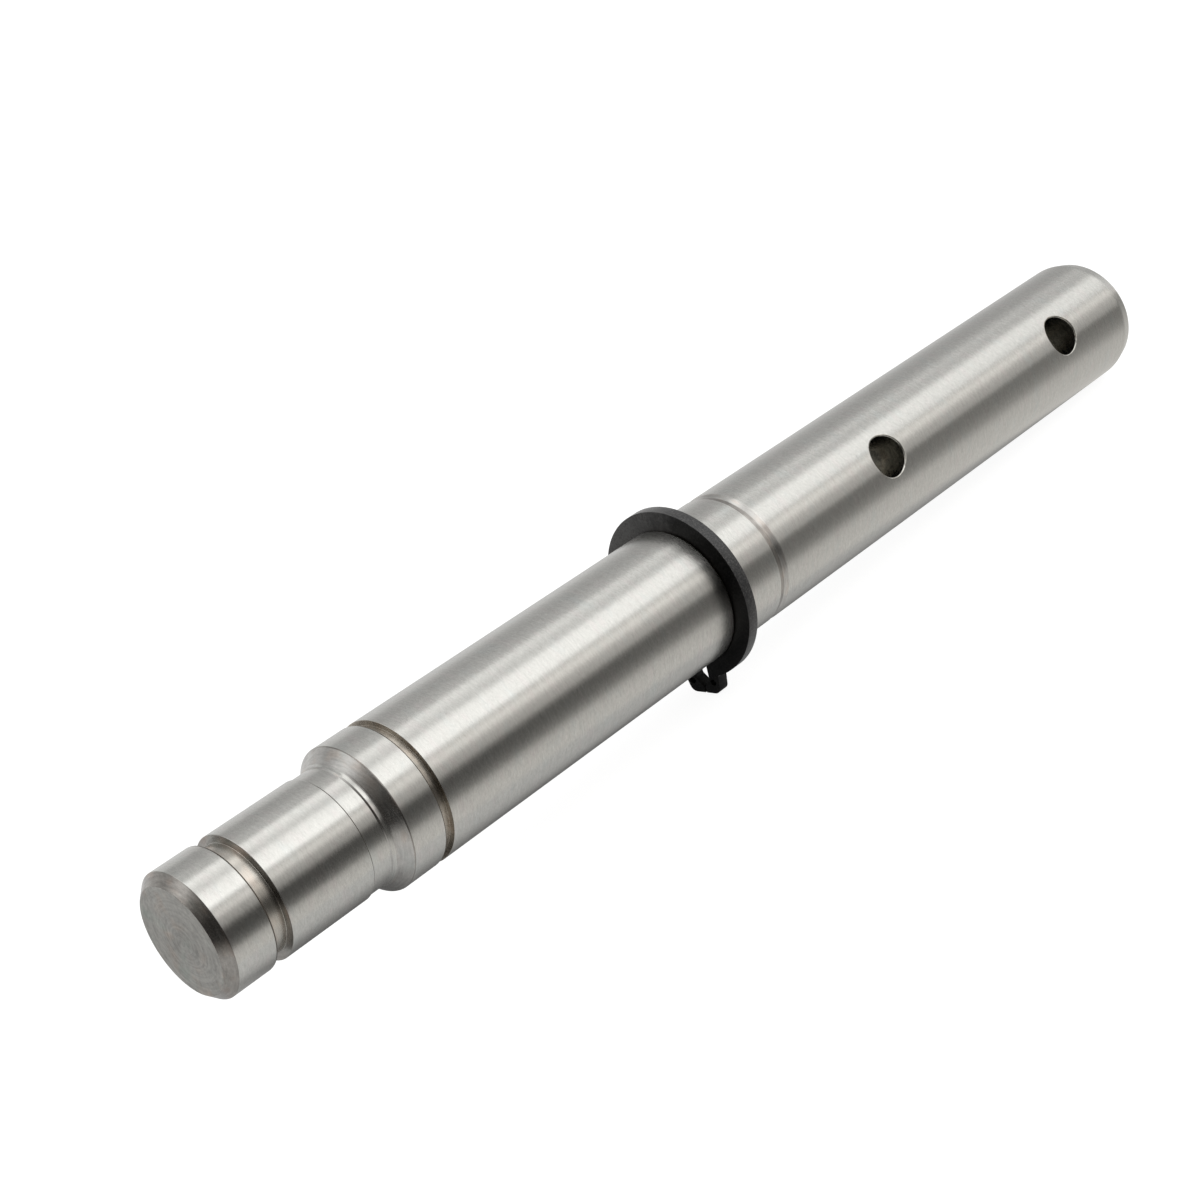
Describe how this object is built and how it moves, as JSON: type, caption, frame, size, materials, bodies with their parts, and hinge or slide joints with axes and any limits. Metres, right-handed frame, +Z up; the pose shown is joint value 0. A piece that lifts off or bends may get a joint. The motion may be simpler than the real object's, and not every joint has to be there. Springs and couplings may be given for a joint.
{
  "type": "bypass shaft",
  "caption": "Stepped ground steel shaft with a grooved front journal, a 45 degree shoulder, two cross holes and an external retaining ring in its groove.",
  "frame": {"origin": "centre of the front end face, on the shaft's axis", "axes": "+X along the axis from the front end face towards the rear end, +Z up, with the lugs of the retaining ring pointing to -Z"},
  "size_m": [0.192, 0.0252, 0.0277],
  "materials": {
    "ground_steel": "turned and ground, with a fine grain round the axis",
    "black_spring_steel": "black oxide, satin"
  },
  "bodies": {
    "root": {"shaft": "ground_steel", "retaining_ring": "black_spring_steel"}
  },
  "joints": []
}
